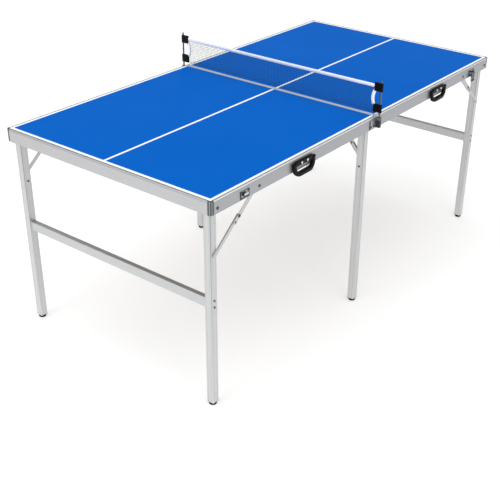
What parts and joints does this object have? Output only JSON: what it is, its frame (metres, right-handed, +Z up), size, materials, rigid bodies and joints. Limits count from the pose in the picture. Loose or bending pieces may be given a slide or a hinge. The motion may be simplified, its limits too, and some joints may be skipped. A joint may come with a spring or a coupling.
{
  "type": "folding table tennis table",
  "caption": "Portable table-tennis table: hinged blue halves in aluminium frames on folding legs with stays, with carrying handles, a draw latch and a lift-off net.",
  "frame": {"origin": "on the floor under the middle of the table", "axes": "+X along the table's length towards the latch half, +Y across it away from the handles, +Z up"},
  "size_m": [1.829, 0.949, 0.892],
  "materials": {
    "board_blue": "smooth painted fibreboard, low sheen",
    "frame_aluminium": "satin extrusion",
    "leg_aluminium": "satin square tube",
    "corner_grey": "moulded, light grain",
    "foot_rubber": "matt",
    "plated_steel": "zinc plated",
    "handle_plastic": "moulded, ribbed grip",
    "tab_black": "moulded",
    "post_steel": "polished rod",
    "net_white": "open mesh with white tape edges"
  },
  "bodies": {
    "left_half": {"left_board": "board_blue", "left_front_rail": "frame_aluminium", "left_back_rail": "frame_aluminium", "left_end_rail": "frame_aluminium", "left_middle_rail": "frame_aluminium", "left_corner_mouldings": "corner_grey", "left_leg_brackets": "plated_steel", "left_frame_rivets": "plated_steel", "left_hinge_leaves": "plated_steel", "hinge_pins": "plated_steel", "left_handle_plate": "handle_plastic", "latch_keeper": "plated_steel", "net_post_sockets": "plated_steel"},
    "right_half": {"right_board": "board_blue", "right_front_rail": "frame_aluminium", "right_back_rail": "frame_aluminium", "right_end_rail": "frame_aluminium", "right_middle_rail": "frame_aluminium", "right_corner_mouldings": "corner_grey", "right_leg_brackets": "plated_steel", "right_frame_rivets": "plated_steel", "right_hinge_leaves": "plated_steel", "right_handle_plate": "handle_plastic", "latch_base": "plated_steel"},
    "net_set": {"net_posts": "post_steel", "net_tabs": "tab_black", "net_cloth": "net_white"},
    "latch_lever": {"latch_lever": "plated_steel"},
    "latch_loop": {"latch_loop": "plated_steel"},
    "left_handle": {"left_handle_grip": "handle_plastic"},
    "right_handle": {"right_handle_grip": "handle_plastic"},
    "left_end_legs": {"left_front_leg": "leg_aluminium", "left_back_leg": "leg_aluminium", "left_crossbar": "leg_aluminium", "left_leg_rivets": "plated_steel", "left_end_feet": "foot_rubber"},
    "left_middle_leg": {"left_middle_leg": "leg_aluminium", "left_middle_foot": "foot_rubber", "left_middle_leg_rivet": "plated_steel"},
    "left_front_upper_stay": {"left_front_upper_stay": "plated_steel"},
    "left_front_lower_stay": {"left_front_lower_stay": "plated_steel"},
    "left_back_upper_stay": {"left_back_upper_stay": "plated_steel"},
    "left_back_lower_stay": {"left_back_lower_stay": "plated_steel"},
    "left_middle_upper_stay": {"left_middle_upper_stay": "plated_steel"},
    "left_middle_lower_stay": {"left_middle_lower_stay": "plated_steel"},
    "right_end_legs": {"right_front_leg": "leg_aluminium", "right_back_leg": "leg_aluminium", "right_crossbar": "leg_aluminium", "right_leg_rivets": "plated_steel", "right_end_feet": "foot_rubber"},
    "right_middle_leg": {"right_middle_leg": "leg_aluminium", "right_middle_foot": "foot_rubber", "right_middle_leg_rivet": "plated_steel"},
    "right_front_upper_stay": {"right_front_upper_stay": "plated_steel"},
    "right_front_lower_stay": {"right_front_lower_stay": "plated_steel"},
    "right_back_upper_stay": {"right_back_upper_stay": "plated_steel"},
    "right_back_lower_stay": {"right_back_lower_stay": "plated_steel"},
    "right_middle_upper_stay": {"right_middle_upper_stay": "plated_steel"},
    "right_middle_lower_stay": {"right_middle_lower_stay": "plated_steel"}
  },
  "joints": [
    {"name": "table_fold", "type": "hinge", "parent": "left_half", "child": "right_half", "pos_m": [0, 0, 0.7117], "axis": [0, 1, 0], "range_deg": [0, 90]},
    {"name": "net_lift", "type": "slide", "parent": "left_half", "child": "net_set", "axis": [0, 0, 1], "range_m": [0, 0.025]},
    {"name": "left_end_legs_fold", "type": "hinge", "parent": "left_half", "child": "left_end_legs", "pos_m": [-0.8845, 0, 0.733], "axis": [0, -1, 0], "range_deg": [0, 90]},
    {"name": "left_front_stay_swing", "type": "hinge", "parent": "left_half", "child": "left_front_upper_stay", "pos_m": [-0.685, -0.425, 0.733], "axis": [0, -1, 0], "range_deg": [0, 140.24]},
    {"name": "left_front_stay_knuckle", "type": "hinge", "parent": "left_front_upper_stay", "child": "left_front_lower_stay", "pos_m": [-0.77187, -0.425, 0.66071], "axis": [0, -1, 0], "range_deg": [-180, 0]},
    {"name": "left_back_stay_swing", "type": "hinge", "parent": "left_half", "child": "left_back_upper_stay", "pos_m": [-0.685, 0.425, 0.733], "axis": [0, -1, 0], "range_deg": [0, 140.24]},
    {"name": "left_back_stay_knuckle", "type": "hinge", "parent": "left_back_upper_stay", "child": "left_back_lower_stay", "pos_m": [-0.77187, 0.425, 0.66071], "axis": [0, -1, 0], "range_deg": [-180, 0]},
    {"name": "left_middle_leg_fold", "type": "hinge", "parent": "left_half", "child": "left_middle_leg", "pos_m": [-0.047, -0.434, 0.733], "axis": [1, 0, 0], "range_deg": [0, 90]},
    {"name": "left_middle_stay_swing", "type": "hinge", "parent": "left_half", "child": "left_middle_upper_stay", "pos_m": [-0.047, -0.314, 0.733], "axis": [1, 0, 0], "range_deg": [0, 127.75]},
    {"name": "left_middle_stay_knuckle", "type": "hinge", "parent": "left_middle_upper_stay", "child": "left_middle_lower_stay", "pos_m": [-0.047, -0.38471, 0.64166], "axis": [1, 0, 0], "range_deg": [-180, 0]},
    {"name": "left_handle_swing", "type": "hinge", "parent": "left_half", "child": "left_handle", "pos_m": [-0.45725, -0.463, 0.7415], "axis": [-1, 0, 0], "range_deg": [0, 90]},
    {"name": "right_end_legs_fold", "type": "hinge", "parent": "right_half", "child": "right_end_legs", "pos_m": [0.8845, 0, 0.733], "axis": [0, 1, 0], "range_deg": [0, 90]},
    {"name": "right_front_stay_swing", "type": "hinge", "parent": "right_half", "child": "right_front_upper_stay", "pos_m": [0.685, -0.425, 0.733], "axis": [0, 1, 0], "range_deg": [0, 140.24]},
    {"name": "right_front_stay_knuckle", "type": "hinge", "parent": "right_front_upper_stay", "child": "right_front_lower_stay", "pos_m": [0.77187, -0.425, 0.66071], "axis": [0, 1, 0], "range_deg": [-180, 0]},
    {"name": "right_back_stay_swing", "type": "hinge", "parent": "right_half", "child": "right_back_upper_stay", "pos_m": [0.685, 0.425, 0.733], "axis": [0, 1, 0], "range_deg": [0, 140.24]},
    {"name": "right_back_stay_knuckle", "type": "hinge", "parent": "right_back_upper_stay", "child": "right_back_lower_stay", "pos_m": [0.77187, 0.425, 0.66071], "axis": [0, 1, 0], "range_deg": [-180, 0]},
    {"name": "right_middle_leg_fold", "type": "hinge", "parent": "right_half", "child": "right_middle_leg", "pos_m": [0.047, 0.434, 0.733], "axis": [-1, 0, 0], "range_deg": [0, 90]},
    {"name": "right_middle_stay_swing", "type": "hinge", "parent": "right_half", "child": "right_middle_upper_stay", "pos_m": [0.047, 0.314, 0.733], "axis": [-1, 0, 0], "range_deg": [0, 127.75]},
    {"name": "right_middle_stay_knuckle", "type": "hinge", "parent": "right_middle_upper_stay", "child": "right_middle_lower_stay", "pos_m": [0.047, 0.38471, 0.64166], "axis": [-1, 0, 0], "range_deg": [-180, 0]},
    {"name": "right_handle_swing", "type": "hinge", "parent": "right_half", "child": "right_handle", "pos_m": [0.45725, -0.463, 0.7415], "axis": [-1, 0, 0], "range_deg": [0, 90]},
    {"name": "latch_lever_swing", "type": "hinge", "parent": "right_half", "child": "latch_lever", "pos_m": [0.758, -0.463, 0.733], "axis": [-1, 0, 0], "range_deg": [0, 90]},
    {"name": "latch_loop_swing", "type": "hinge", "parent": "latch_lever", "child": "latch_loop", "pos_m": [0.758, -0.463, 0.723], "axis": [1, 0, 0], "range_deg": [-5, 30]}
  ],
  "couplings": [
    {"joint": "left_front_stay_swing", "follows": "left_end_legs_fold", "ratio": 1.5582},
    {"joint": "left_front_stay_knuckle", "follows": "left_end_legs_fold", "ratio": -2},
    {"joint": "left_back_stay_swing", "follows": "left_end_legs_fold", "ratio": 1.5582},
    {"joint": "left_back_stay_knuckle", "follows": "left_end_legs_fold", "ratio": -2},
    {"joint": "left_middle_stay_swing", "follows": "left_middle_leg_fold", "ratio": 1.4194},
    {"joint": "left_middle_stay_knuckle", "follows": "left_middle_leg_fold", "ratio": -2},
    {"joint": "right_front_stay_swing", "follows": "right_end_legs_fold", "ratio": 1.5582},
    {"joint": "right_front_stay_knuckle", "follows": "right_end_legs_fold", "ratio": -2},
    {"joint": "right_back_stay_swing", "follows": "right_end_legs_fold", "ratio": 1.5582},
    {"joint": "right_back_stay_knuckle", "follows": "right_end_legs_fold", "ratio": -2},
    {"joint": "right_middle_stay_swing", "follows": "right_middle_leg_fold", "ratio": 1.4194},
    {"joint": "right_middle_stay_knuckle", "follows": "right_middle_leg_fold", "ratio": -2}
  ]
}
